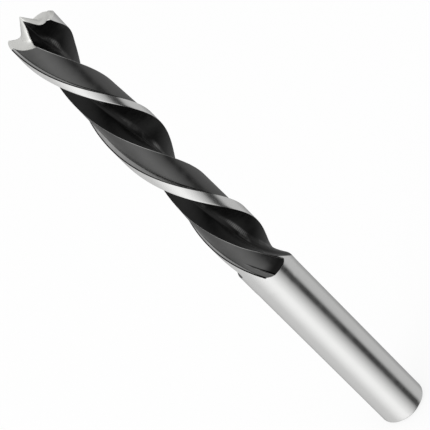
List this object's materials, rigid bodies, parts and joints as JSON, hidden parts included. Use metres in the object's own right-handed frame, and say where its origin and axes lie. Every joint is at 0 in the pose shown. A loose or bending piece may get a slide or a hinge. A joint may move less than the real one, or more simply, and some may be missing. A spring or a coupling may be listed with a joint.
{
  "type": "brad point drill bit",
  "caption": "Twisted wood drill bit with helical flutes, a centring point with outer spurs and a plain round shank.",
  "frame": {"origin": "centre of the flat end of the shank, on the bit's axis", "axes": "+Z along the bit's axis from the shank end to the point; the edge of the first margin faces -Y at a height of 99.5 mm"},
  "size_m": [0.01, 0.01, 0.12],
  "materials": {
    "steel": "ground and polished shank, margins and point; dark flutes and lands"
  },
  "bodies": {
    "root": {"drill_bit": "steel"}
  },
  "joints": []
}
